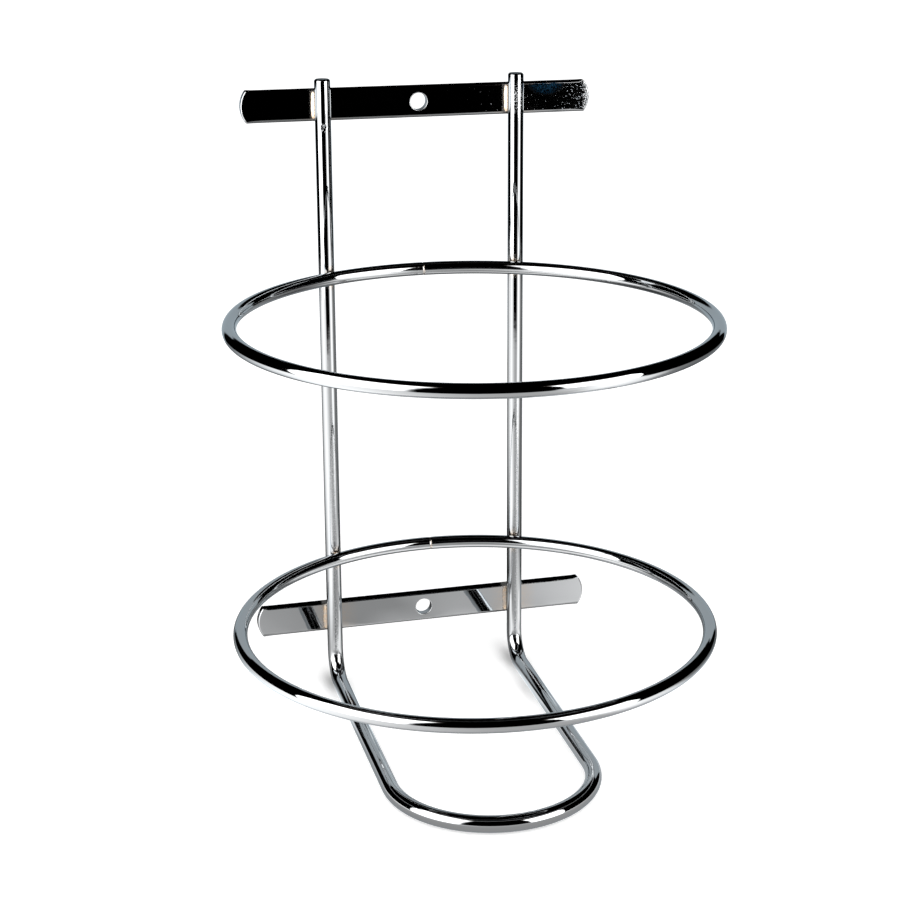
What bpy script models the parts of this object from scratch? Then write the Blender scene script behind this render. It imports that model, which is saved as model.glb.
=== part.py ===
"""Wall bottle holder: a bent wire frame carrying two welded rings and two drilled wall strips.

The holder stands on its base loop, X across, the wall on the +Y side, +Z up. The origin is on the
surface it stands on, under the middle of its outer box. Lengths are in metres.
"""

import math

import bmesh
import bpy

# Frame: one wire bent into two uprights and the base loop that carries the bottle
FRAME_WIRE_D = 0.0050
UPRIGHT_SPACING = 0.0616
FRAME_HEIGHT = 0.2000
BASE_REACH = 0.1157
BEND_INSIDE_R = 0.0065
WIRE_TIP_CHAMFER = 0.0004

# Rings: round hoops closed by a butt weld at the back
RING_WIRE_D = 0.0042
RING_BORE_D = 0.1365
LOWER_RING_HEIGHT = 0.0443
RING_PITCH = 0.0938
SEAM_WIDTH = 0.0008
SEAM_DEPTH = 0.0002
UPPER_SEAM_OFFSET = 0.0009
LOWER_SEAM_OFFSET = 0.0024

# Strips: flat bars with a screw hole, cut to a shallow arc at each end
STRIP_LENGTH = 0.1116
STRIP_HEIGHT = 0.0100
STRIP_THICKNESS = 0.0030
STRIP_END_BULGE = 0.0017
STRIP_EDGE_R = 0.0005
SCREW_HOLE_D = 0.0057
UPPER_STRIP_DROP = 0.0083
LOWER_STRIP_HEIGHT = 0.0219

# Welds: how far each pair of pieces is pressed together, and the clearance kept round an upright
RING_WELD_SINK = 0.0005
STRIP_WELD_SINK = 0.0003
WELD_CLEARANCE = 0.0003

# Facets
FRAME_SIDES = 16
RING_SIDES = 12
RING_SEGMENTS = 96
BEND_SEGMENTS = 8
LOOP_SEGMENTS = 36
STRIP_END_SEGMENTS = 8
HOLE_SEGMENTS = 32
EDGE_SEGMENTS = 3
CUTTER_SIDES = 48
SHARP_ANGLE = math.radians(30)
MERGE_DISTANCE = 1e-6

CHROME_COLOR = (0.44, 0.45, 0.46, 1.0)
CHROME_ROUGHNESS = 0.05

# Sizes that follow from the ones above
FRAME_WIRE_R = FRAME_WIRE_D / 2
RING_WIRE_R = RING_WIRE_D / 2
UPRIGHT_X = UPRIGHT_SPACING / 2
BEND_R = BEND_INSIDE_R + FRAME_WIRE_R
RING_R = RING_BORE_D / 2 + RING_WIRE_R
RING_STAND_OFF = FRAME_WIRE_R + RING_WIRE_R - RING_WELD_SINK
RING_Y = -math.sqrt((RING_R + RING_STAND_OFF) ** 2 - UPRIGHT_X**2)
UPPER_RING_HEIGHT = LOWER_RING_HEIGHT + RING_PITCH
STRIP_FRONT_Y = FRAME_WIRE_R - STRIP_WELD_SINK
STRIP_BACK_Y = STRIP_FRONT_Y + STRIP_THICKNESS
UPPER_STRIP_HEIGHT = FRAME_HEIGHT - UPPER_STRIP_DROP
FRONT_Y = min(RING_Y - RING_R - RING_WIRE_R, -BASE_REACH - FRAME_WIRE_R)
UPRIGHT_Y = -(FRONT_Y + STRIP_BACK_Y) / 2


def clear_scene():
    for obj in list(bpy.data.objects):
        bpy.data.objects.remove(obj, do_unlink=True)


def new_collection(name):
    collection = bpy.data.collections.new(name)
    bpy.context.scene.collection.children.link(collection)
    return collection


def chrome(name):
    """Bright nickel-chrome plate on steel."""
    material = bpy.data.materials.new(name)
    material.use_nodes = True
    shader = material.node_tree.nodes["Principled BSDF"]
    shader.inputs["Base Color"].default_value = CHROME_COLOR
    shader.inputs["Metallic"].default_value = 1.0
    shader.inputs["Roughness"].default_value = CHROME_ROUGHNESS
    return material


def arc_points(radius, start, end, segments):
    """Points on a circle about the origin, both ends included."""
    step = (end - start) / segments
    angles = [start + step * i for i in range(segments + 1)]
    return [(radius * math.cos(angle), radius * math.sin(angle)) for angle in angles]


def wire_curve(name, points, wire_radius, sides, radii=None, cyclic=False):
    """A round wire along a polyline, with filled ends and an optional swelling at each point."""
    curve = bpy.data.curves.new(name, "CURVE")
    curve.dimensions = "3D"
    curve.bevel_depth = wire_radius
    curve.bevel_resolution = (sides - 4) // 2
    curve.use_fill_caps = True
    spline = curve.splines.new("POLY")
    spline.points.add(len(points) - 1)
    for point, place in zip(spline.points, points):
        point.co = (*place, 1.0)
    for point, factor in zip(spline.points, radii or []):
        point.radius = factor
    spline.use_cyclic_u = cyclic
    return bpy.data.objects.new(name, curve)


def finish(obj, collection, parent, material):
    """Links the piece under the holder's empty and gives it its own chrome."""
    obj.data.materials.append(material)
    collection.objects.link(obj)
    obj.parent = parent
    return obj


def as_mesh(obj):
    """Replaces a curve object by a mesh object in the same place, with its caps welded."""
    bpy.context.scene.collection.objects.link(obj)
    bpy.context.view_layer.update()
    graph = bpy.context.evaluated_depsgraph_get()
    mesh = bpy.data.meshes.new_from_object(obj.evaluated_get(graph))
    name = obj.name
    place = obj.matrix_world.copy()
    bpy.data.objects.remove(obj, do_unlink=True)
    build = bmesh.new()
    build.from_mesh(mesh)
    bmesh.ops.remove_doubles(build, verts=build.verts, dist=MERGE_DISTANCE)
    bmesh.ops.recalc_face_normals(build, faces=build.faces)
    build.to_mesh(mesh)
    build.free()
    mesh.shade_smooth()
    mesh.set_sharp_from_angle(angle=SHARP_ANGLE)
    solid = bpy.data.objects.new(name, mesh)
    solid.name = name
    solid.matrix_world = place
    return solid


def frame_half():
    """Centre line from a wire tip down the upright, round the bend and along the leg to the loop."""
    tip = FRAME_HEIGHT
    points = [(0.0, tip), (0.0, tip - WIRE_TIP_CHAMFER)]
    bend_y = -BEND_R
    bend_z = FRAME_WIRE_R + BEND_R
    bend = arc_points(BEND_R, 0.0, -math.pi / 2, BEND_SEGMENTS)
    points += [(bend_y + y, bend_z + z) for y, z in bend]
    return [(UPRIGHT_X, y, z) for y, z in points]


def frame_path():
    """The whole wire: one half, the loop's half circle at the front, and the mirrored half."""
    right = frame_half()
    loop_y = UPRIGHT_X - BASE_REACH
    loop = arc_points(UPRIGHT_X, 0.0, -math.pi, LOOP_SEGMENTS)
    front = [(x, loop_y + y, FRAME_WIRE_R) for x, y in loop]
    left = [(-x, y, z) for x, y, z in reversed(right)]
    return right + front + left


def wire_frame():
    points = frame_path()
    tip_factor = 1.0 - WIRE_TIP_CHAMFER / FRAME_WIRE_R
    radii = [1.0] * len(points)
    radii[0] = tip_factor
    radii[-1] = tip_factor
    return wire_curve("wire_frame", points, FRAME_WIRE_R, FRAME_SIDES, radii)


def ring(name, height, seam_offset, weld_cutters):
    """A hoop with a shallow groove where its ends are butted, seated against both uprights."""
    seam_angle = math.pi / 2 - seam_offset / RING_R
    half_seam = SEAM_WIDTH / 2 / RING_R
    circle = arc_points(RING_R, seam_angle + half_seam, seam_angle + 2 * math.pi - half_seam, RING_SEGMENTS)
    seam = (RING_R * math.cos(seam_angle), RING_R * math.sin(seam_angle))
    points = [(x, y, 0.0) for x, y in [seam] + circle]
    radii = [1.0 - SEAM_DEPTH / RING_WIRE_R] + [1.0] * len(circle)
    hoop = wire_curve(name, points, RING_WIRE_R, RING_SIDES, radii, cyclic=True)
    hoop.location = (0.0, RING_Y, height)
    solid = as_mesh(hoop)
    cut_weld_seats(solid, weld_cutters)
    return solid


def strip_outline():
    """Straight long edges joined by a shallow outward arc at each end."""
    half_height = STRIP_HEIGHT / 2
    end_r = (half_height**2 + STRIP_END_BULGE**2) / (2 * STRIP_END_BULGE)
    half_angle = math.asin(half_height / end_r)
    centre_x = STRIP_LENGTH / 2 - end_r
    end = arc_points(end_r, -half_angle, half_angle, STRIP_END_SEGMENTS)
    right = [(centre_x + x, y) for x, y in end]
    left = [(-x, -y) for x, y in right]
    return right + left


def strip(name, height, weld_cutters):
    """A flat bar with a screw hole in the middle, its edges rounded, grooved where an upright seats."""
    curve = bpy.data.curves.new(name, "CURVE")
    curve.dimensions = "2D"
    curve.fill_mode = "BOTH"
    curve.extrude = STRIP_THICKNESS / 2 - STRIP_EDGE_R
    curve.bevel_depth = STRIP_EDGE_R
    curve.bevel_resolution = EDGE_SEGMENTS - 1
    curve.offset = -STRIP_EDGE_R
    hole = arc_points(SCREW_HOLE_D / 2, 0.0, 2 * math.pi, HOLE_SEGMENTS)[:-1]
    for outline in (strip_outline(), hole):
        spline = curve.splines.new("POLY")
        spline.points.add(len(outline) - 1)
        for point, (x, y) in zip(spline.points, outline):
            point.co = (x, y, 0.0, 1.0)
        spline.use_cyclic_u = True
    bar = bpy.data.objects.new(name, curve)
    bar.location = (0.0, STRIP_FRONT_Y + STRIP_THICKNESS / 2, height)
    bar.rotation_euler = (math.pi / 2, 0.0, 0.0)
    solid = as_mesh(bar)
    cut_weld_seats(solid, weld_cutters)
    return solid


def weld_cutter(name, side, collection, parent):
    """The upright's own cylinder with the weld clearance round it, as tall as the frame."""
    build = bmesh.new()
    radius = FRAME_WIRE_R + WELD_CLEARANCE
    bmesh.ops.create_cone(
        build,
        cap_ends=True,
        segments=CUTTER_SIDES,
        radius1=radius,
        radius2=radius,
        depth=FRAME_HEIGHT,
    )
    mesh = bpy.data.meshes.new(name)
    build.to_mesh(mesh)
    build.free()
    cutter = bpy.data.objects.new(name, mesh)
    collection.objects.link(cutter)
    cutter.parent = parent
    cutter.location = (side * UPRIGHT_X, 0.0, FRAME_HEIGHT / 2)
    cutter.hide_render = True
    cutter.display_type = "WIRE"
    return cutter


def cut_weld_seats(solid, cutters):
    for cutter in cutters:
        seat = solid.modifiers.new("seat_" + cutter.name, "BOOLEAN")
        seat.operation = "DIFFERENCE"
        seat.solver = "EXACT"
        seat.object = cutter


def main():
    clear_scene()
    pieces = new_collection("wall_bottle_holder")
    helpers = new_collection("weld_cutters")
    holder = bpy.data.objects.new("holder_frame", None)
    pieces.objects.link(holder)
    holder.location = (0.0, UPRIGHT_Y, 0.0)
    cutters = [
        weld_cutter("left_upright_clearance", -1, helpers, holder),
        weld_cutter("right_upright_clearance", 1, helpers, holder),
    ]
    solids = [
        wire_frame(),
        ring("upper_ring", UPPER_RING_HEIGHT, UPPER_SEAM_OFFSET, cutters),
        ring("lower_ring", LOWER_RING_HEIGHT, LOWER_SEAM_OFFSET, cutters),
        strip("upper_strip", UPPER_STRIP_HEIGHT, cutters),
        strip("lower_strip", LOWER_STRIP_HEIGHT, cutters),
    ]
    for solid in solids:
        finish(solid, pieces, holder, chrome(solid.name + "_chrome"))


main()
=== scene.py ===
"""Looks of the wall bottle holder: bright chromed wire, hoops and flat strips in a small studio."""
import math

import bmesh
import bpy
import numpy as np
from mathutils import Matrix, Vector
from mathutils.geometry import delaunay_2d_cdt


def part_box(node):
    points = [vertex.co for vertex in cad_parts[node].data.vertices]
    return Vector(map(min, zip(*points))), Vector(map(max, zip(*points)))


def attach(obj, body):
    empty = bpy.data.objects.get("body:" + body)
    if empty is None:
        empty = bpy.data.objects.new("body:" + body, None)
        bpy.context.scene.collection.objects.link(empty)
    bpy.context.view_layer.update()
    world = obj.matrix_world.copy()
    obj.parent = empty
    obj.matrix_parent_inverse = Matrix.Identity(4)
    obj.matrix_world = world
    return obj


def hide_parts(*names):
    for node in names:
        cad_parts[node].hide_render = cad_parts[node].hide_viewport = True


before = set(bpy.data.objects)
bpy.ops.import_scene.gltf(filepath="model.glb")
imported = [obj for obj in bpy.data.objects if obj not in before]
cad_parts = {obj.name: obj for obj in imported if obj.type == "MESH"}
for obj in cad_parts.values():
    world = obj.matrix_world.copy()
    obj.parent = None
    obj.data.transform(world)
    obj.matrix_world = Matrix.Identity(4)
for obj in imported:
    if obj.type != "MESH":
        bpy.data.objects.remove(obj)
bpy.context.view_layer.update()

# Sizes repeated from the part's source, in metres
FRAME_R = 0.0025
RING_R = 0.0021
BEND_R = 0.0090
UPPER_SEAM_X = 0.0009
LOWER_SEAM_X = 0.0024
STRIP_END_BULGE = 0.0017

# Places and sizes taken from the frame
FRAME_LO, FRAME_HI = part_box("wire_frame")
UPPER_LO, UPPER_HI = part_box("upper_ring")
LOWER_LO, LOWER_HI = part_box("lower_ring")
BAR_LO, BAR_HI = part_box("upper_strip")
LOW_BAR_LO, LOW_BAR_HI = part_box("lower_strip")
UPRIGHT_X = FRAME_HI.x - FRAME_R
UPRIGHT_Y = FRAME_HI.y - FRAME_R
LOOP_R = UPRIGHT_X
LOOP_Y = FRAME_LO.y + FRAME_R + LOOP_R
TOP_Z = FRAME_HI.z
RING_OUTER = (UPPER_HI.x - UPPER_LO.x) / 2
RING_MID_R = RING_OUTER - RING_R
RING_Y = UPPER_LO.y + RING_OUTER
UPPER_Z = (UPPER_LO.z + UPPER_HI.z) / 2
LOWER_Z = (LOWER_LO.z + LOWER_HI.z) / 2
BAR_Z = (BAR_LO.z + BAR_HI.z) / 2
LOW_BAR_Z = (LOW_BAR_LO.z + LOW_BAR_HI.z) / 2
BAR_HALF_X = BAR_HI.x
BAR_HALF_Z = (BAR_HI.z - BAR_LO.z) / 2
BAR_FRONT = BAR_LO.y
BAR_BACK = BAR_HI.y

# Lengths along the frame wire: upright, bend, leg, and all of one half with its quarter circle
DROP = TOP_Z - FRAME_R - BEND_R
BEND = BEND_R * math.pi / 2
LEG = UPRIGHT_Y - BEND_R - LOOP_Y
HALF_FRAME = DROP + BEND + LEG + LOOP_R * math.pi / 2

# Sawn and chamfered wire tip: distance from the end and radius there
TIP_PROFILE = ((0.0, 0.0010), (0.0, 0.0018), (0.00001, 0.00204), (0.00005, 0.00212), (0.00012, 0.0022),
               (0.00028, 0.00236), (0.00036, 0.00243), (0.00046, 0.00248), (0.0006, FRAME_R))
SAWN_ROWS = 3
BODY_START = 0.0012

# Steps between the rows of points on the wires
WIRE_STEP = 0.0016
RING_FINE_STEP = 0.00016
RING_FINE_REACH = 0.0028

# Round electrode mark on the left upright: a dent with a steep rim, within the wire's own surface
MARK_S = TOP_Z - 0.1854
MARK_TURN = math.radians(96)
MARK_DEPTH = 0.00014
MARK_SPREAD = 0.00070
RIM_HEIGHT = 0.00005
RIM_RADIUS = 0.0011
RIM_SPREAD = 0.00022
MARK_SCUFF_R = 0.0015

# Faint scuffs on the front of the uprights: by the upper strip at the right, and low on both
SCUFF_Z = 0.1925
SCUFF_HALF = 0.0065
LOW_SCUFF_TOP = 0.100

# Butt weld of a hoop: a narrow groove that wanders a little, in a slightly thinner stretch
SEAM_DEPTH = 0.00014
SEAM_SPREAD = 0.00013
SEAM_WANDER = 0.00012
SEAM_THINNING = 0.00003
SEAM_THIN_REACH = 0.0022

# Dressed strips: hole, corner and edge roundings, and the slope of the upper long edge
HOLE_R = 0.00265
HOLE_LIP = 0.0003
HOLE_SIDES = 72
LIP_ROWS = 6
STRIP_CORNER = 0.0006
FRONT_ROUND = 0.00050
SHARPER_ABOVE = 0.00015
ROUNDER_BELOW = 0.00045
BACK_ROUND = 0.00040
TOP_DRAFT = math.radians(9.5)
EDGE_ROWS = 9

# Millimetres in a metre
MILLIMETRES = 1000

# Reach of the weld tint at the hoop crossings, and how sharply it fades
WELD_REACH = 0.0027
WELD_HEIGHT_ON_FRAME = 0.0040
WELD_FADE = 1.6

# Fused metal between hoop and upright: it ends where the gap between them is as wide as its mouth
WELD_SIDES = 56
WELD_MOUTH = 0.00030
WELD_SLOW_WAVE = 0.00007
WELD_FAST_WAVE = 0.00004
WELD_REACHES = (0.0009, 0.00205)
WELD_INSIDE = (0.0008, 0.0018)
WELD_OVERLAP = 2e-6

# Weld metal beside an upright on a strip: side, outer edge and how far that edge wanders
BAR_WELD_FLANKS = ((-1, 0.00325, 0.00004), (1, 0.00285, 0.00003))
BAR_WELD_INNER = 0.0023
BAR_WELD_ON_WIRE = 0.00228
BAR_WELD_ROWS = 34
UPPER_WELD_CLIMB = 0.0009
LOWER_WELD_CLIMB = 0.0003

# Colours
CHROME = (0.430, 0.438, 0.445, 1.0)
GRAZING = (0.72, 0.78, 0.82, 1.0)
WELD_TAN = (0.62, 0.46, 0.31, 1.0)
DUST = (0.66, 0.72, 0.78, 1.0)
BLUE_FILM = (0.010, 0.045, 0.090, 1.0)
# Near-black for the sawn tips, and for the painted shade on the strips' lower edge
DARK_TIP_AND_PAINTED_SHADE = (0.05, 0.05, 0.05, 1.0)
PAPER = (0.82, 0.82, 0.82, 1.0)
# Paper colour in the painted shadows by the bends and the right leg
PAINTED_SHADOW_PAPER = (0.10, 0.10, 0.10, 1.0)
PANEL_GREY = (0.64, 0.69, 0.72)
SOFTBOX_RIM = (0.62, 0.52, 0.46)

# Roughness of the polish, and what marks add to it
POLISH = (0.024, 0.046)
WIRE_TINT_ROUGH = 0.30
STRIP_TINT_ROUGH = 0.04
MATTE_ROUGH = 0.30
HEAT_ROUGH = 0.45
DUST_ROUGH = 0.6

# Heights of the relief, in metres
WIRE_PEEL = 0.000018
STRIP_PEEL = 0.000006
DRAWN_LINES = 0.0000005
PITS = 0.00008

# Fineness of the drawn lines along and across a wire or strip
WIRE_GRAIN = (40.0, 5200.0, 5200.0)
STRIP_GRAIN = (60.0, 3000.0, 3000.0)

# Fineness of the mottled patterns, in spots a metre
POLISH_SPOTS = 90.0
PEEL_SPOTS = 260.0
TINT_SPOTS = 900.0
SPECKS = 2600.0
DUST_SPOTS = 3100.0
FILM_SPOTS = 2100.0
PAPER_SPOTS = 900.0

# Most that the weld tint and the sawn tips change the colour, and the blue film the metal
TINT_MOST = 0.9
DULL_MOST = 0.85
FILM_MOST = 0.8

# Tan heat tint on a strip: a band left of each upright and a haze on both sides
HEAT_START = 0.0016
HEAT_FULL = 0.0009
HEAT_MOST = 0.50
HAZE_REACH = 0.0060
HAZE_MOST = 0.34

# Front face of the upper strip, with its grainy right end, dust and blue film
FACE_EDGE = 0.0006
FACE_FADE = 0.0004
CUT_END = (0.0024, 0.0002)
CUT_END_SCUFF = 0.8
DENSE_DUST_X = 0.046
DENSE_DUST_MORE = 0.115
DUST_X = (0.010, 0.044)
DUST_LEVEL = (0.795, 0.825)
FILM_CENTRE = (0.0415, 0.0712, BAR_Z + 0.0042)
FILM_SCALE = (160.0, 0.0, 280.0)

# Painted shade along the lower edge of both strips
PAINTED_SHADE_EDGE = (0.00105, 0.00075)
PAINTED_SHADE_EDGE_MOST = 0.62

# Camera fitted to the photo, with the shift that frames the part as there
CAMERA_PLACE = Vector((-0.14345, -0.556485, 0.28708))
CAMERA_TARGET = Vector((0.03965, 0.067515, 0.09409))
CAMERA_ROLL = 0.007
CAMERA_LENS = 82.17
CAMERA_SHIFT = (-0.10056, -0.06267)

# Paper floor, with soft painted shadows by the bends and the right leg: place, half sizes and strength
FLOOR_HALF = 6.0
FLOOR_Z = -0.0002
NEAR_GLOW = 0.46
FAR_GLOW = 0.78
FLOOR_PAINTED_SHADOWS = ((-0.0320, 0.066, 0.0034, 0.011, 1.0),
                (0.0305, 0.070, 0.0034, 0.011, 1.0),
                (0.0290, 0.045, 0.0032, 0.011, 0.5))

# Painted pools of light and shade on the mirrored floor: how much, azimuth and width in degrees, start and
# end in millimetres
PAINTED_FLOOR_POOLS = ((1.60, -86, 47, 50, 100),
               (1.00, 38, 17, 80, 260),
               (-0.50, 112, 50, 90, 200),
               (-0.22, -172, 28, 25, 65),
               (-0.50, -150, 26, 80, 125))
FLOOR_REACHES = (0, 15, 30, 45, 60, 75, 90, 110, 140, 170, 210, 260, 330, 350, 370, 390, 410, 450, 500,
                 560, 600, 650, 700, 900, 1200)

# Mirrored room and grey panel, in millimetres
WALL_REACH = 1750
WALL_HEIGHT = 2900
PANEL_Y = 450
PANEL_X = (-200, 545)
PANEL_HEIGHT = 316

# Brightness of the softboxes that are mirrored and of those that only light
MIRROR_LEVEL = 4.5
LIGHT_LEVEL = 2.6

# Height at which a softbox has faded out, its top corners being at 1
BOX_TOP_FADE = 1.16


# Materials

def new_material(name):
    material = bpy.data.materials.new(name)
    material.use_nodes = True
    material.node_tree.nodes.clear()
    return material


class Graph:
    """Short calls for building one node tree."""

    def __init__(self, tree):
        self.tree = tree

    def put(self, socket, value):
        """Link a socket's value, or set it on the input itself."""
        if isinstance(value, bpy.types.NodeSocket):
            self.tree.links.new(value, socket)
        else:
            socket.default_value = value

    def node(self, kind, inputs=None, **settings):
        made = self.tree.nodes.new(kind)
        for key, value in settings.items():
            setattr(made, key, value)
        for key, value in (inputs or {}).items():
            self.put(made.inputs[key], value)
        return made

    def math(self, operation, a, b=0.0, clamp=False):
        return self.node("ShaderNodeMath", {0: a, 1: b}, operation=operation, use_clamp=clamp).outputs[0]

    def product(self, first, *others):
        for other in others:
            first = self.math("MULTIPLY", first, other)
        return first

    def raised(self, value, mask, share):
        """The value plus a share of a mask, at most 1."""
        return self.math("ADD", value, self.math("MULTIPLY", mask, share), clamp=True)

    def vector(self, operation, inputs, output="Vector"):
        made = self.node("ShaderNodeVectorMath", dict(enumerate(inputs)), operation=operation)
        return made.outputs[output]

    def ramp(self, value, low, high, to_low=0.0, to_high=1.0):
        return self.node("ShaderNodeMapRange", {"Value": value, "From Min": low, "From Max": high,
                                                "To Min": to_low, "To Max": to_high}).outputs["Result"]

    def noise(self, vector, scale, detail=2.0, rough=0.5):
        return self.node("ShaderNodeTexNoise", {"Vector": vector, "Scale": scale, "Detail": detail,
                                                "Roughness": rough}).outputs["Fac"]

    def bump(self, height, strength, distance, normal=None):
        inputs = {"Height": height, "Strength": strength, "Distance": distance}
        if normal is not None:
            inputs["Normal"] = normal
        return self.node("ShaderNodeBump", inputs).outputs[0]

    def attribute(self, name, output):
        return self.node("ShaderNodeAttribute", attribute_name=name).outputs[output]

    def mix_color(self, factor, a, b):
        return self.node("ShaderNodeMix", {0: factor, 6: a, 7: b}, data_type="RGBA").outputs[2]

    def finish(self, shader):
        self.node("ShaderNodeOutputMaterial", {"Surface": shader})


def white_for_seen_rays(graph):
    """1 for camera, glossy and transmission rays, 0 for the rays that light the object."""
    path = graph.node("ShaderNodeLightPath")
    seen = graph.math("ADD", path.outputs["Is Camera Ray"], path.outputs["Is Glossy Ray"])
    return graph.math("ADD", seen, path.outputs["Is Transmission Ray"], clamp=True)


def strip_marks(g, place, wire):
    """Masks by name for the marks that only the strips have, and the painted shade on their lower edge,
    from the place in the part's frame.
    """
    along, depth, height = g.node("ShaderNodeSeparateXYZ", {0: place}).outputs
    nearer_upright = g.math("MULTIPLY", g.math("SIGN", along), UPRIGHT_X)
    offset = g.math("SUBTRACT", along, nearer_upright)
    band = g.ramp(offset, -FRAME_R - HEAT_START, -FRAME_R - HEAT_FULL)
    heat = g.product(band, HEAT_MOST, g.ramp(offset, 0.0, -0.0005))
    near_upright = g.ramp(g.math("ABSOLUTE", offset), FRAME_R + HAZE_REACH, FRAME_R)
    haze = g.product(near_upright, HAZE_MOST)

    off_middle = g.math("ABSOLUTE", g.math("SUBTRACT", height, BAR_Z))
    inside_edges = g.ramp(off_middle, BAR_HALF_Z - FACE_EDGE, BAR_HALF_Z - FACE_EDGE - FACE_FADE)
    in_front = g.ramp(depth, BAR_FRONT + FACE_EDGE + FACE_FADE, BAR_FRONT + FACE_EDGE)
    face = g.product(inside_edges, in_front)
    cut_end = g.product(g.ramp(along, BAR_HALF_X - CUT_END[0], BAR_HALF_X - CUT_END[1]), face)

    dense = g.product(g.ramp(along, DENSE_DUST_X, BAR_HALF_X), DENSE_DUST_MORE)
    dust = g.ramp(g.math("ADD", g.noise(place, DUST_SPOTS, 0.0), dense), *DUST_LEVEL)
    dust = g.product(dust, face, g.ramp(along, *DUST_X))

    from_film = g.vector("SUBTRACT", (place, FILM_CENTRE))
    from_film = g.vector("LENGTH", (g.vector("MULTIPLY", (from_film, FILM_SCALE)),), "Value")
    film_spots = g.ramp(g.noise(place, FILM_SPOTS, 2.0, 0.6), 0.42, 0.68)
    film = g.product(g.ramp(from_film, 1.0, 0.3), film_spots, face)

    # Painted shade on the lower rounded edge
    from_middle = g.node("ShaderNodeSeparateXYZ", {0: wire}).outputs[2]
    painted_shade_edge = g.ramp(from_middle, PAINTED_SHADE_EDGE[0] - BAR_HALF_Z, PAINTED_SHADE_EDGE[1] - BAR_HALF_Z, 0.0, PAINTED_SHADE_EDGE_MOST)
    return {"heat": heat, "haze": haze, "cut_end": cut_end, "dust": dust, "film": film,
            "painted_shade_edge": painted_shade_edge}


def chrome_material(name, grain, strip=False):
    """Bright chrome over drawn steel, marked by the mesh attributes weld, scuff, dull and matte."""
    material = new_material(name)
    g = Graph(material.node_tree)
    place = g.node("ShaderNodeTexCoord").outputs["Object"]
    wire = g.attribute("wire_space", "Vector")
    weld, scuff, dull, matte = (g.attribute(key, "Fac") for key in ("weld", "scuff", "dull", "matte"))
    marks = strip_marks(g, place, wire) if strip else {}
    stain = weld
    if strip:
        stain = g.math("MAXIMUM", weld, g.math("MAXIMUM", marks["heat"], marks["haze"]))
        scuff = g.math("MAXIMUM", scuff, g.product(marks["cut_end"], CUT_END_SCUFF))

    # Weld tint in soft patches, and the sawn tips
    patch = g.ramp(g.noise(place, TINT_SPOTS, 3.0, 0.65), 0.15, 0.60)
    tint = g.math("MULTIPLY", stain, patch, clamp=True)
    color = g.mix_color(g.product(tint, TINT_MOST), CHROME, WELD_TAN)
    color = g.mix_color(g.product(dull, DULL_MOST), color, DARK_TIP_AND_PAINTED_SHADE)
    rough = g.ramp(g.noise(place, POLISH_SPOTS, 3.0, 0.6), 0.35, 0.75, *POLISH)
    rough = g.raised(rough, tint, STRIP_TINT_ROUGH if strip else WIRE_TINT_ROUGH)
    rough = g.raised(rough, g.math("MAXIMUM", dull, matte), MATTE_ROUGH)
    metal = 1.0
    if strip:
        # Painted shade on the lower edge
        color = g.mix_color(marks["painted_shade_edge"], color, DARK_TIP_AND_PAINTED_SHADE)
        color = g.mix_color(marks["dust"], color, DUST)
        color = g.mix_color(g.ramp(marks["film"], 0.0, 0.06), color, BLUE_FILM)
        rough = g.raised(rough, marks["heat"], HEAT_ROUGH)
        rough = g.raised(rough, marks["dust"], DUST_ROUGH)
        without_film = g.math("SUBTRACT", 1.0, g.product(marks["film"], FILM_MOST))
        metal = g.product(g.math("SUBTRACT", 1.0, marks["dust"]), without_film)

    # Slight orange peel, drawn lines, then pits in the welds and specks in the scuffs
    drawn = g.vector("MULTIPLY", (wire, grain))
    specks = g.noise(place, SPECKS)
    pits = g.product(g.ramp(specks, 0.58, 0.72), weld)
    specks = g.product(g.ramp(specks, 0.54, 0.66), scuff)
    normal = g.bump(g.noise(place, PEEL_SPOTS), 1.0, STRIP_PEEL if strip else WIRE_PEEL)
    normal = g.bump(g.noise(drawn, 1.0, 2.0, 0.6), 1.0, DRAWN_LINES, normal)
    normal = g.bump(g.math("ADD", pits, specks), 0.6, PITS, normal)
    shader = g.node("ShaderNodeBsdfPrincipled", {
        "Base Color": color, "Metallic": metal, "Roughness": rough, "Specular Tint": GRAZING,
        "Normal": normal})
    g.finish(shader.outputs[0])
    return material


# Mesh helpers

def make_object(name, verts, faces, material, values=None, normals=None, closed=True):
    """A smooth mesh object; values holds float, vector or colour point attributes by name."""
    mesh = bpy.data.meshes.new(name)
    mesh.from_pydata([tuple(v) for v in verts], [], faces)
    if closed:
        build = bmesh.new()
        build.from_mesh(mesh)
        bmesh.ops.recalc_face_normals(build, faces=build.faces)
        build.to_mesh(mesh)
        build.free()
    mesh.polygons.foreach_set("use_smooth", [True] * len(mesh.polygons))
    for key, data in (values or {}).items():
        data = np.asarray(data, np.float32)
        kind = "FLOAT" if data.ndim == 1 else "FLOAT_VECTOR" if data.shape[1] == 3 else "FLOAT_COLOR"
        field = {"FLOAT": "value", "FLOAT_VECTOR": "vector", "FLOAT_COLOR": "color"}[kind]
        mesh.attributes.new(key, kind, "POINT").data.foreach_set(field, data.ravel())
    mesh.update()
    if normals is not None:
        mesh.normals_split_custom_set_from_vertices([tuple(n) for n in normals])
    mesh.materials.append(material)
    made = bpy.data.objects.new(name, mesh)
    bpy.context.scene.collection.objects.link(made)
    return made


def grid_faces(rows, columns, closed_rows=False, closed_columns=False):
    """Quads of a grid of points stored row by row."""
    faces = []
    for i in range(rows if closed_rows else rows - 1):
        a = i * columns
        b = (i + 1) % rows * columns
        for j in range(columns if closed_columns else columns - 1):
            k = (j + 1) % columns
            faces.append((a + j, b + j, b + k, a + k))
    return faces


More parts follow.
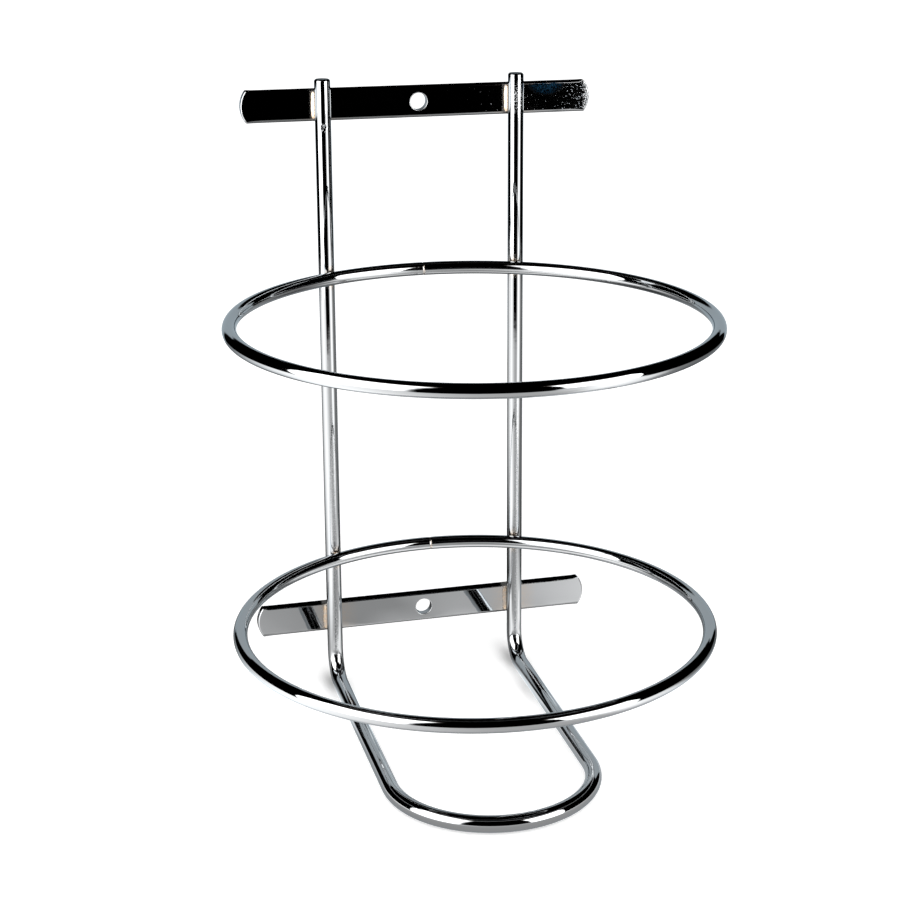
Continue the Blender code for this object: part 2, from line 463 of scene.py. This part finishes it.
def tube(centres, across, upward, along, radii, closed):
    """Points, faces and wire coordinates of a skin round a centreline; radii is rows by sides."""
    rows, sides = radii.shape
    angle = np.arange(sides) * 2 * math.pi / sides
    cos, sin = radii * np.cos(angle), radii * np.sin(angle)
    points = centres[:, None] + cos[..., None] * across[:, None] + sin[..., None] * upward[:, None]
    wire = np.stack([np.repeat(along[:, None], sides, 1), cos, sin], 2)
    faces = grid_faces(rows, sides, closed, True)
    if not closed:
        faces.append(tuple(range(sides)))
        faces.append(tuple(reversed(range((rows - 1) * sides, rows * sides))))
    return points.reshape(-1, 3), faces, wire.reshape(-1, 3)


def spaced(start, end, coarse, marks, fine=0.0002, reach=0.003):
    """Places from start to end, coarse apart, and fine apart within reach of each mark."""
    places = [start]
    while places[-1] < end - 1e-9:
        at = places[-1]
        near = any(abs(at - m) < reach for m in marks)
        step = fine if near else coarse
        ahead = [m - reach for m in marks if at < m - reach - 1e-9]
        if ahead and not near:
            step = min(step, max(min(ahead) - at, fine))
        places.append(min(at + step, end))
    return np.array(places)


def bell(value, spread):
    """1 at zero, falling off smoothly on both sides."""
    return np.exp(-(value / spread) ** 2)


# Frame wire

CROSSINGS = [Vector((side * UPRIGHT_X, UPRIGHT_Y, z)) for z in (UPPER_Z, LOWER_Z) for side in (-1, 1)]


def crossing_weld(points, reach, height):
    """1 near a ring crossing, fading to 0 at reach sideways and height upwards."""
    out = np.zeros(len(points))
    for cross in CROSSINGS:
        toward = Vector((-cross.x, RING_Y - cross.y, 0)).normalized()
        centre = np.array(cross + toward * FRAME_R)
        away = np.linalg.norm((points - centre) / np.array([reach, reach, height]), axis=1)
        out = np.maximum(out, np.clip(WELD_FADE - WELD_FADE * away, 0, 1))
    return out


def frame_path(s):
    """Centre, inward direction and along direction of the frame wire at length s from the left tip."""
    if s > HALF_FRAME:
        p, u, t = frame_path(2 * HALF_FRAME - s)
        return Vector((-p.x, p.y, p.z)), Vector((-u.x, u.y, u.z)), Vector((t.x, -t.y, -t.z))
    inward = Vector((1, 0, 0))
    if s <= DROP:
        return Vector((-UPRIGHT_X, UPRIGHT_Y, TOP_Z - s)), inward, Vector((0, 0, -1))
    if s <= DROP + BEND:
        a = (s - DROP) / BEND_R
        centre = Vector((-UPRIGHT_X, UPRIGHT_Y - BEND_R, FRAME_R + BEND_R))
        out = Vector((0, math.cos(a), -math.sin(a)))
        return centre + out * BEND_R, inward, Vector((0, -math.sin(a), -math.cos(a)))
    if s <= DROP + BEND + LEG:
        y = UPRIGHT_Y - BEND_R - (s - DROP - BEND)
        return Vector((-UPRIGHT_X, y, FRAME_R)), inward, Vector((0, -1, 0))
    a = (s - DROP - BEND - LEG) / LOOP_R
    out = Vector((-math.cos(a), -math.sin(a), 0))
    return Vector((0, LOOP_Y, FRAME_R)) + out * LOOP_R, -out, Vector((math.sin(a), -math.cos(a), 0))


def upright_scuffs(points):
    """Scuff mask on the front of the uprights: by the upper strip at the right, and low on both."""
    x, y, z = points.T
    front = np.clip((UPRIGHT_Y - 0.0014 - y) / 0.0006, 0, 1)
    by_strip = 0.9 * np.clip(1 - np.abs(z - SCUFF_Z) / SCUFF_HALF, 0, 1) * (x > 0)
    centre_line = bell(np.abs(x) - UPRIGHT_X, 0.0006)
    low = 0.5 * np.clip((LOW_SCUFF_TOP - z) / 0.02, 0, 1) * np.clip((z - 0.008) / 0.004, 0, 1)
    return front * np.maximum(by_strip, low * centre_line) * (y > UPRIGHT_Y - 0.0030)


def build_frame_wire(material):
    length = 2 * HALF_FRAME
    sides = 64
    marks = [MARK_S]
    for z in (UPPER_Z, LOWER_Z):
        marks += [TOP_Z - z, length - (TOP_Z - z)]
    body = spaced(BODY_START, length - BODY_START, WIRE_STEP, sorted(marks))
    tip_s = [at for at, _ in TIP_PROFILE]
    tip_r = [radius for _, radius in TIP_PROFILE]
    s = np.concatenate([tip_s, body, [length - at for at in reversed(tip_s)]])
    base = np.concatenate([tip_r, np.full(len(body), FRAME_R), tip_r[::-1]])
    frames = [frame_path(v) for v in s]
    centres = np.array([f[0] for f in frames])
    across = np.array([f[1] for f in frames])
    upward = np.array([f[2].cross(f[1]) for f in frames])
    angle = np.arange(sides) * 2 * math.pi / sides
    radii = np.repeat(base[:, None], sides, 1)
    turn = (angle - MARK_TURN + math.pi) % (2 * math.pi) - math.pi
    from_mark = np.hypot(s[:, None] - MARK_S, turn[None] * FRAME_R)
    dent = MARK_DEPTH * bell(from_mark, MARK_SPREAD)
    rim = RIM_HEIGHT * bell(from_mark - RIM_RADIUS, RIM_SPREAD)
    radii = np.minimum(radii - (dent - rim), FRAME_R)
    points, faces, wire = tube(centres, across, upward, s, radii, False)
    round_mark = 0.9 * np.clip(2.0 - 2.0 * from_mark.ravel() / MARK_SCUFF_R, 0, 1)
    dull = np.zeros(len(points))
    dull[:SAWN_ROWS * sides] = 1.0
    dull[-SAWN_ROWS * sides:] = 1.0
    return make_object("frame_wire", points, faces, material, {
        "wire_space": wire, "weld": crossing_weld(points, WELD_REACH, WELD_HEIGHT_ON_FRAME),
        "scuff": np.maximum(upright_scuffs(points), round_mark), "dull": dull})


# Rings

def build_ring(name, height, seam_x, material):
    """One hoop; the turn angle starts at the wall side and grows towards +X."""
    sides = 48
    seam = math.asin(seam_x / RING_MID_R)
    arc = 2 * math.pi * RING_MID_R
    marks = [arc / 2]
    for side in (-1, 1):
        marks.append(arc / 2 + (side * math.atan2(UPRIGHT_X, UPRIGHT_Y - RING_Y) - seam) * RING_MID_R)
    s = spaced(0.0, arc, WIRE_STEP, sorted(marks), RING_FINE_STEP, RING_FINE_REACH)[:-1]
    turn = (s - arc / 2) / RING_MID_R + seam
    outward = np.stack([np.sin(turn), np.cos(turn), np.zeros(len(turn))], 1)
    centres = outward * RING_MID_R + np.array([0, RING_Y, height])
    upward = np.repeat([[0.0, 0.0, 1.0]], len(s), 0)
    from_seam = (s - arc / 2)[:, None]
    angle = (np.arange(sides) * 2 * math.pi / sides)[None]
    wander = SEAM_WANDER * np.sin(angle * 2 + 0.6)
    radii = RING_R - SEAM_DEPTH * bell(from_seam - wander, SEAM_SPREAD)
    radii -= SEAM_THINNING * np.clip(1 - np.abs(from_seam) / SEAM_THIN_REACH, 0, 1)
    points, faces, wire = tube(centres, outward, upward, s, radii, True)
    at_seam = 0.5 * bell(np.repeat(from_seam[:, 0], sides), 0.0004)
    weld = np.maximum(crossing_weld(points, WELD_REACH, WELD_REACH), at_seam)
    return make_object(name, points, [tuple(reversed(f)) for f in faces], material,
                       {"wire_space": wire, "weld": weld})


# Strips

def strip_outline(end_points=14, corner_points=6, side_points=39):
    """Outline in X and Z about the strip's middle, anticlockwise seen from the front, with its normals."""
    half, bulge = BAR_HALF_Z, STRIP_END_BULGE
    radius = (half ** 2 + bulge ** 2) / (2 * bulge)
    centre = BAR_HALF_X - radius
    inner = radius - STRIP_CORNER
    tilt = math.asin((half - STRIP_CORNER) / inner)
    corner_x = centre + inner * math.cos(tilt)
    right = []
    for a in np.linspace(-tilt, tilt, end_points):
        right.append((centre + radius * math.cos(a), radius * math.sin(a), math.cos(a), math.sin(a)))
    top = []
    for a in np.linspace(tilt, math.pi / 2, corner_points)[1:]:
        x = corner_x + STRIP_CORNER * math.cos(a)
        z = half - STRIP_CORNER + STRIP_CORNER * math.sin(a)
        top.append((x, z, math.cos(a), math.sin(a)))
    quarter = right[end_points // 2:] + top
    places = list(np.linspace(corner_x - 0.0015, 0.0015 - corner_x, side_points))
    close = [corner_x - 0.0004, corner_x - 0.0009]
    places = close + places + [-x for x in reversed(close)]
    long_side = [(x, half, 0.0, 1.0) for x in places]
    upper = quarter + long_side + [(-x, z, -nx, nz) for x, z, nx, nz in reversed(quarter)]
    lower = [(-x, -z, -nx, -nz) for x, z, nx, nz in upper]
    return np.array(upper + lower)


def edge_skin(outline, height):
    """Rows of points and normals over the strip's edge, from its front face to its back."""
    facing = outline[:, 3]
    from_end = BAR_HALF_X - np.abs(outline[:, 0])
    inboard = np.clip((from_end - 0.0012) / 0.0035, 0, 1)
    front_r = np.where(facing > 0, FRONT_ROUND - SHARPER_ABOVE * facing,
                       FRONT_ROUND - ROUNDER_BELOW * facing * inboard)
    back_r = np.full(len(outline), BACK_ROUND)
    draft = TOP_DRAFT * np.clip(facing, 0, 1)
    slope = draft * np.clip((from_end - 0.0024) / 0.0012, 0, 1)
    rows, normals = [], []

    def add(inset, y, turn):
        """One outline row; turn is 0 for a normal towards the front and pi for one to the back."""
        xz = outline[:, :2] - outline[:, 2:] * inset[:, None]
        side = outline[:, 2:] * np.sin(turn)[:, None]
        rows.append(np.stack([xz[:, 0], y, xz[:, 1] + height], 1))
        normals.append(np.stack([side[:, 0], -np.cos(turn), side[:, 1]], 1))

    front_reach = front_r / np.cos(slope) + (BAR_BACK - BAR_FRONT - front_r) * np.tan(slope)
    back_reach = back_r / np.cos(slope) + back_r * np.tan(slope)
    for k in range(EDGE_ROWS):
        turn = (math.pi / 2 - draft) * k / (EDGE_ROWS - 1)
        add(front_reach - front_r * np.sin(turn), BAR_FRONT + front_r * (1 - np.cos(turn)), turn)
    for k in range(EDGE_ROWS):
        turn = math.pi / 2 - draft + (math.pi / 2 + draft) * k / (EDGE_ROWS - 1)
        add(back_reach - back_r * np.sin(turn), BAR_BACK - back_r * (1 + np.cos(turn)), turn)
    return rows, normals


def hole_skin(height):
    """Rows of points and normals through the screw hole, from the front face to the back."""
    turn = np.arange(HOLE_SIDES) * 2 * math.pi / HOLE_SIDES
    ring = np.stack([np.cos(turn), np.sin(turn)], 1)
    sections = []
    for k in range(LIP_ROWS):
        a = math.pi / 2 * k / (LIP_ROWS - 1)
        reach = HOLE_R + HOLE_LIP * (1 - math.sin(a))
        sections.append((reach, BAR_FRONT + HOLE_LIP * (1 - math.cos(a)), -math.cos(a), math.sin(a)))
    for k in range(LIP_ROWS):
        a = math.pi / 2 * k / (LIP_ROWS - 1)
        reach = HOLE_R + HOLE_LIP * (1 - math.cos(a))
        sections.append((reach, BAR_BACK - HOLE_LIP * (1 - math.sin(a)), math.sin(a), math.cos(a)))
    rows, normals = [], []
    for reach, y, backward, inward in sections:
        flat, side = ring * reach, -ring * inward
        rows.append(np.stack([flat[:, 0], np.full(HOLE_SIDES, y), flat[:, 1] + height], 1))
        normals.append(np.stack([side[:, 0], np.full(HOLE_SIDES, backward), side[:, 1]], 1))
    return rows, normals


def flat_cap(points, outer, hole, to_back):
    """Triangles of a flat face between an outline and a hole, each a list of point numbers."""
    index = [*outer, *hole]
    flat = [Vector((points[i][0], points[i][2])) * MILLIMETRES for i in index]
    edges = [(k, (k + 1) % len(outer)) for k in range(len(outer))]
    edges += [(len(outer) + k, len(outer) + (k + 1) % len(hole)) for k in range(len(hole))]
    _, _, made, source, _, _ = delaunay_2d_cdt(flat, edges, [], 1, 1e-7)
    faces = []
    for tri in made:
        tri = [source[i][0] for i in tri]
        if min(tri) >= len(outer):
            continue
        a, b, c = (index[i] for i in tri)
        turn = np.cross(points[b] - points[a], points[c] - points[a])[1]
        faces.append((a, b, c) if (turn > 0) == to_back else (a, c, b))
    return faces


def build_strip(name, height, material):
    """One flat bar with rounded edges and a screw hole, its faces cut flat between the two."""
    outline = strip_outline()
    count = len(outline)
    edge_rows, edge_normals = edge_skin(outline, height)
    hole_rows, hole_normals = hole_skin(height)
    points = np.concatenate(edge_rows + hole_rows)
    hole_start = len(edge_rows) * count
    faces = [tuple(reversed(f)) for f in grid_faces(len(edge_rows), count, False, True)]
    hole_faces = grid_faces(len(hole_rows), HOLE_SIDES, False, True)
    faces += [tuple(hole_start + i for i in f) for f in hole_faces]
    front = range(count), range(hole_start, hole_start + HOLE_SIDES)
    back = range(hole_start - count, hole_start), range(len(points) - HOLE_SIDES, len(points))
    faces += flat_cap(points, *front, False)
    faces += flat_cap(points, *back, True)
    matte = np.zeros(len(points))
    matte[hole_start + HOLE_SIDES:-HOLE_SIDES] = 1.0
    return make_object(name, points, faces, material,
                       {"wire_space": points - np.array([0, 0, height]), "weld": np.zeros(len(points)),
                        "matte": matte},
                       np.concatenate(edge_normals + hole_normals))


# Welds

def curve_point(a, knee, b, t):
    """Place at t on a curve from a to b that leans towards the knee."""
    return a * (1 - t) ** 2 + knee * (2 * t * (1 - t)) + b * t ** 2


def fillet_section(a, b, slopes, steps=7):
    """Concave curve from the ring's surface to the upright's, closed by one hidden point inside."""
    a_slope, b_slope = slopes
    difference = a_slope - b_slope
    if abs(difference) < 1e-6:
        knee = (a + b) / 2
    else:
        reach = (b.y - a.y + a_slope * a.x - b_slope * b.x) / difference
        knee = Vector((reach, a.y + a_slope * (reach - a.x)))
    curve = [curve_point(a, knee, b, k / (steps - 1)) for k in range(steps)]
    return [*curve, Vector(WELD_INSIDE)]


def build_crossing_weld(name, side, height, material):
    """Fused metal between a hoop and an upright, in the plane square to the hoop's radius there."""
    offset = Vector((side * UPRIGHT_X, UPRIGHT_Y - RING_Y, 0))
    outward = offset.normalized()
    upward = Vector((0, 0, 1))
    across = upward.cross(outward)
    gap = offset.length - RING_MID_R
    centre = Vector((0, RING_Y, height)) + outward * RING_MID_R

    def ring_face(x, z):
        return math.sqrt(max(RING_R ** 2 - z ** 2, 0)) - x ** 2 / (2 * RING_MID_R)

    def upright_face(x, z):
        return gap - math.sqrt(max(FRAME_R ** 2 - x ** 2, 0))

    def slope(face, c, s, r, step=1e-5):
        return (face(c * (r + step), s * (r + step)) - face(c * (r - step), s * (r - step))) / (2 * step)

    points = []
    for k in range(WELD_SIDES):
        a = 2 * math.pi * k / WELD_SIDES
        c, s = math.cos(a), math.sin(a)
        mouth = WELD_MOUTH + WELD_SLOW_WAVE * math.sin(3 * a + side) + WELD_FAST_WAVE * math.sin(7 * a)
        r, too_far = WELD_REACHES
        for _ in range(30):
            middle = (r + too_far) / 2
            width = upright_face(c * middle, s * middle) - ring_face(c * middle, s * middle)
            r, too_far = (middle, too_far) if width < mouth else (r, middle)
        on_ring = Vector((r, ring_face(c * r, s * r) - WELD_OVERLAP))
        on_upright = Vector((r, upright_face(c * r, s * r) + WELD_OVERLAP))
        slopes = slope(ring_face, c, s, r), slope(upright_face, c, s, r)
        for p in fillet_section(on_ring, on_upright, slopes):
            points.append(centre + across * (c * p.x) + upward * (s * p.x) + outward * p.y)
    faces = grid_faces(WELD_SIDES, len(points) // WELD_SIDES, True, True)
    return make_object(name, points, faces, material,
                       {"wire_space": [tuple(p) for p in points], "weld": np.ones(len(points))})


def build_strip_weld(name, side, height, climb, material):
    """Weld metal along both flanks of an upright on a strip, squeezed out further on the left."""
    depth = BAR_FRONT - UPRIGHT_Y
    reach_z = BAR_HALF_Z - 0.0007
    columns = 10
    points, faces = [], []
    for flank, flat_end, wander in BAR_WELD_FLANKS:
        start = len(points)
        for k in range(BAR_WELD_ROWS):
            z = -reach_z + 2 * reach_z * k / (BAR_WELD_ROWS - 1)
            end = math.sqrt(max(0.0, 1 - (z / reach_z) ** 6))
            wave = math.sin(k * 0.31 + 2 * side + flank) + 0.6 * math.sin(k * 0.83 + 2 * side)
            width = (flat_end - BAR_WELD_INNER + wander * wave) * end
            a = Vector((BAR_WELD_INNER + width, depth))
            b = Vector((BAR_WELD_ON_WIRE, depth - climb * max(end, 0.05)))
            knee = Vector((b.x + (a.x - b.x) * 0.42, depth - climb * 0.40 * end))
            section = [curve_point(a, knee, b, t) for t in np.linspace(0, 1, columns - 1)]
            section.append(Vector((0.0020, depth + 0.0002)))
            for p in section:
                points.append((side * UPRIGHT_X + flank * p.x, UPRIGHT_Y + p.y, height + z))
        last = (BAR_WELD_ROWS - 1) * columns
        made = grid_faces(BAR_WELD_ROWS, columns, False, True)
        made += [tuple(range(columns)), tuple(reversed(range(last, last + columns)))]
        faces += [tuple(i + start for i in f) for f in made]
    return make_object(name, points, faces, material,
                       {"wire_space": points, "weld": np.ones(len(points))})


# Studio

def smooth(value, low, high):
    t = min(1.0, max(0.0, (value - low) / (high - low)))
    return t * t * (3 - 2 * t)


def lobe(azimuth, centre, width):
    """1 at the centre, falling off on both sides, all in degrees."""
    return math.exp(-(((azimuth - centre + 180) % 360 - 180) / width) ** 2)


def around(azimuth, reach, z=0.0):
    """A place at a distance in millimetres, azimuth 0 being the front and 90 the right."""
    a = math.radians(azimuth)
    return Vector((reach * math.sin(a), -reach * math.cos(a), z)) / MILLIMETRES


def look_at_matrix(place, target, roll):
    forward = (target - place).normalized()
    right = forward.cross(Vector((0, 0, 1))).normalized()
    up = right.cross(forward)
    turned = right * math.cos(roll) + up * math.sin(roll)
    up = up * math.cos(roll) - right * math.sin(roll)
    rotation = Matrix((turned, up, -forward)).transposed()
    return Matrix.Translation(place) @ rotation.to_4x4()


def build_camera():
    data = bpy.data.cameras.new("camera")
    data.sensor_width = 36.0
    data.lens = CAMERA_LENS
    data.shift_x, data.shift_y = CAMERA_SHIFT
    data.clip_start = 0.01
    data.clip_end = 60.0
    camera = bpy.data.objects.new("camera", data)
    camera.matrix_world = look_at_matrix(CAMERA_PLACE, CAMERA_TARGET, CAMERA_ROLL)
    bpy.context.scene.collection.objects.link(camera)
    bpy.context.scene.camera = camera


def build_world():
    """A white surround where it is seen, and a weaker light where it falls on things."""
    world = bpy.data.worlds.new("studio")
    world.use_nodes = True
    world.node_tree.nodes.clear()
    g = Graph(world.node_tree)
    strength = g.ramp(white_for_seen_rays(g), 0.0, 1.0, 0.55, 1.0)
    back = g.node("ShaderNodeBackground", {"Color": (1, 1, 1, 1), "Strength": strength})
    g.node("ShaderNodeOutputWorld", {"Surface": back.outputs[0]})
    bpy.context.scene.world = world


def build_floor():
    """White paper that keeps the part's shadow, with a painted soft shadow by each bend and the right leg.
    """
    material = new_material("floor_paper")
    g = Graph(material.node_tree)
    place = g.node("ShaderNodeTexCoord").outputs["Object"]
    lift = g.ramp(g.vector("LENGTH", (place,), "Value"), 0.10, 0.5, NEAR_GLOW, FAR_GLOW)
    # Painted shadows by the bends and the right leg: the glow is cut there
    for x, y, wide, deep, most in FLOOR_PAINTED_SHADOWS:
        apart = g.vector("SUBTRACT", (place, (x, y, 0)))
        apart = g.vector("MULTIPLY", (apart, (1 / wide, 1 / deep, 0)))
        square = g.vector("DOT_PRODUCT", (apart, apart), "Value")
        painted_shadow = g.product(g.math("EXPONENT", g.product(square, -1.0)), most)
        lift = g.product(lift, g.math("SUBTRACT", 1.0, painted_shadow))
    normal = g.bump(g.noise(place, PAPER_SPOTS, 3.0, 0.6), 0.2, 0.00005)
    # The paper's colour darkened to a painted shadow where the glow is cut
    color = g.mix_color(g.ramp(lift, 0.0, NEAR_GLOW, 0.35, 0.0), PAPER, PAINTED_SHADOW_PAPER)
    paper = g.node("ShaderNodeBsdfDiffuse", {"Color": color, "Normal": normal})
    seen_glow = g.product(white_for_seen_rays(g), lift)
    glow = g.node("ShaderNodeEmission", {"Color": (1, 1, 1, 1), "Strength": seen_glow})
    g.finish(g.node("ShaderNodeAddShader", {0: paper.outputs[0], 1: glow.outputs[0]}).outputs[0])
    corners = [(x * FLOOR_HALF, y * FLOOR_HALF, FLOOR_Z) for x, y in ((-1, -1), (1, -1), (1, 1), (-1, 1))]
    floor = make_object("floor", corners, [(0, 1, 2, 3)], material, closed=False)


def card(name, grid, material, values, lights=False):
    """A studio card that the camera doesn't see. It shows in mirrors, or with lights it only lights."""
    rows, columns = len(grid), len(grid[0])
    points = [p for row in grid for p in row]
    made = make_object(name, points, grid_faces(rows, columns), material, values, closed=False)
    made.visible_camera = False
    made.visible_shadow = False
    made.visible_diffuse = lights
    made.visible_glossy = not lights


def glow_material(name):
    material = new_material(name)
    g = Graph(material.node_tree)
    glow = g.node("ShaderNodeEmission", {"Color": g.attribute("glow", "Color"), "Strength": 1.0})
    g.finish(glow.outputs[0])
    return material


def build_softbox(name, corners, level, inner_fade, lights=False):
    """Corners are bottom inner, bottom outer, top inner and top outer. The light fades out above."""
    bottom_inner, bottom_outer, top_inner, top_outer = corners
    columns, rows = 41, 41
    grid, glow = [], []
    for r in range(rows):
        v = BOX_TOP_FADE * r / (rows - 1)
        line = []
        for c in range(columns):
            u = c / (columns - 1)
            bottom = bottom_inner * (1 - u) * (1 - v) + bottom_outer * u * (1 - v)
            line.append(bottom + top_inner * (1 - u) * v + top_outer * u * v)
            side = smooth(u, 0.0, inner_fade) * smooth(1 - u, 0.0, 0.03)
            core = 1 - smooth(v, 0.93, 1.0)
            rim = (1 - smooth(v, 1.0, BOX_TOP_FADE)) * (1 - core)
            glow.append((*(side * (level * core + rim * tone) for tone in SOFTBOX_RIM), 1.0))
        grid.append(line)
    card(name, grid, glow_material(name), {"glow": glow}, lights)


def painted_floor_level(azimuth, reach):
    """Painted brightness of the floor that the chrome mirrors: light beside both softboxes, shade behind
    and at the right.
    """
    x, y = (MILLIMETRES * v for v in around(azimuth, reach)[:2])
    level = 0.78 - 0.24 * (1 - smooth(reach, 40, 95))
    for most, centre, width, start, end in PAINTED_FLOOR_POOLS:
        level += most * lobe(azimuth, centre, width) * smooth(reach, start, end)
    level += 1.15 * smooth(azimuth, 28, 46) * (1 - smooth(azimuth, 64, 82)) * smooth(reach, 80, 125)

    # Under the hoops: painted reflections of the lower strip and the uprights, and painted shade by the
    # wall
    near = math.exp(-((y - 18) / 45) ** 2) * (1 - smooth(reach, 90, 140))
    level += near * (0.28 * smooth(x, 2, 20) + 0.36 * smooth(x, 38, 72) + 0.15 * smooth(-x, 15, 45))
    by_wall = smooth(y, 26, 42) * (1 - smooth(y, 56, 66))
    level += 0.85 * by_wall * smooth(x, -36, -24) * (1 - smooth(x, 85, 105))
    level += 0.75 * by_wall * smooth(x, -60, -40) * (1 - smooth(x, 6, 18))
    level -= 0.36 * smooth(y, 58, 68) * (1 - smooth(reach, 150, 260))

    # The painted light on the floor ends nearest in front, and furthest before the right softbox
    right_edge = 17 + 4.6 * smooth(reach, 400, 1000)
    front_gap = smooth(azimuth, -44, -38) * (1 - smooth(azimuth, right_edge, right_edge + 2))
    level *= 1 - smooth(reach, 330, 410) * front_gap
    before_right = smooth(azimuth, right_edge, right_edge + 2) * (1 - smooth(azimuth, 58, 66))
    level *= 1 - smooth(reach, 560, 700) * (1 - before_right)
    return max(level, 0.0)


def build_mirrored_studio():
    """What the chrome shows: dark walls and ceiling, a grey panel low behind and a glowing card painted
    with the floor's light and shade.
    """
    black = new_material("dark_wall")
    g = Graph(black.node_tree)
    g.finish(g.node("ShaderNodeBsdfDiffuse", {"Color": (0, 0, 0, 1)}).outputs[0])
    turns = [360 * c / 96 - 180 for c in range(97)]
    card("dark_wall", [[around(a, WALL_REACH, z) for a in turns] for z in (-1, WALL_HEIGHT)], black, {})
    lid = [[Vector((x, y, WALL_HEIGHT / MILLIMETRES)) for x in (-1.8, 1.8)] for y in (-1.8, 1.8)]
    card("dark_ceiling", lid, black, {})
    left, right = PANEL_X
    panel, tone = [], []
    for z in np.linspace(0, PANEL_HEIGHT, 17):
        across = np.linspace(left, right, 31)
        panel.append([Vector((x, PANEL_Y, z)) / MILLIMETRES for x in across])
        for x in across:
            fade = smooth(PANEL_HEIGHT - z, 0, 20) * smooth(x - left, 0, 30) * smooth(right - x, 0, 30)
            tone.append((*(fade * v for v in PANEL_GREY), 1.0))
    card("grey_panel", panel, glow_material("grey_panel"), {"glow": tone})
    # A card that only mirrors see, glowing with the floor's painted light, shade and reflections
    turns = [2 * c - 180 for c in range(181)]
    reaches = [*FLOOR_REACHES, WALL_REACH]
    grid = [[around(a, r, -0.1) for a in turns] for r in reaches]
    glow = [(level, level, level, 1.0) for level in (painted_floor_level(a, r) for r in reaches for a in turns)]
    card("painted_floor_reflection", grid, glow_material("painted_floor_reflection"), {"glow": glow})


def build_softboxes():
    """Two boxes that the chrome mirrors, and two in much the same directions that only light."""
    build_softbox("right_softbox", (around(23, 1200), around(59, 1200), around(20, 1150, 1080),
                                    around(70, 1150, 1080)), MIRROR_LEVEL, 0.06)
    build_softbox("left_softbox", (around(-40, 600), around(-95, 600), around(-33, 520, 800),
                                   around(-112, 560, 800)), MIRROR_LEVEL, 0.14)
    build_softbox("right_light", (around(18, 317), around(76, 254), around(17, 261, 395),
                                  around(86, 216, 395)), LIGHT_LEVEL, 0.10, True)
    build_softbox("left_light", (around(-46, 491), around(-98, 400), around(-31, 380, 522),
                                 around(-118, 330, 466)), LIGHT_LEVEL, 0.16, True)


# Assembly

def build_holder():
    frame_chrome = chrome_material("frame_chrome_look", WIRE_GRAIN)
    ring_chrome = chrome_material("ring_chrome_look", WIRE_GRAIN)
    strip_chrome = chrome_material("strip_chrome_look", STRIP_GRAIN, True)
    made = [
        (build_frame_wire(frame_chrome), "wire_frame", "frame_chrome"),
        (build_ring("upper_hoop", UPPER_Z, UPPER_SEAM_X, ring_chrome), "upper_ring", "ring_chrome"),
        (build_ring("lower_hoop", LOWER_Z, LOWER_SEAM_X, ring_chrome), "lower_ring", "ring_chrome"),
        (build_strip("upper_bar", BAR_Z, strip_chrome), "upper_strip", "strip_chrome"),
        (build_strip("lower_bar", LOW_BAR_Z, strip_chrome), "lower_strip", "strip_chrome"),
    ]
    for side, word in ((-1, "left"), (1, "right")):
        for level, z in (("upper", UPPER_Z), ("lower", LOWER_Z)):
            weld = build_crossing_weld(f"{level}_{word}_hoop_weld", side, z, ring_chrome)
            made.append((weld, None, "ring_chrome"))
        for level, z, climb in (("upper", BAR_Z, UPPER_WELD_CLIMB), ("lower", LOW_BAR_Z, LOWER_WELD_CLIMB)):
            weld = build_strip_weld(f"{level}_{word}_bar_weld", side, z, climb, strip_chrome)
            made.append((weld, None, "strip_chrome"))
    for piece, node, slot in made:
        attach(piece, "root")
        if node:
            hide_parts(node)


bpy.context.scene.view_settings.view_transform = "Standard"
build_camera()
build_world()
build_floor()
build_mirrored_studio()
build_softboxes()
build_holder()
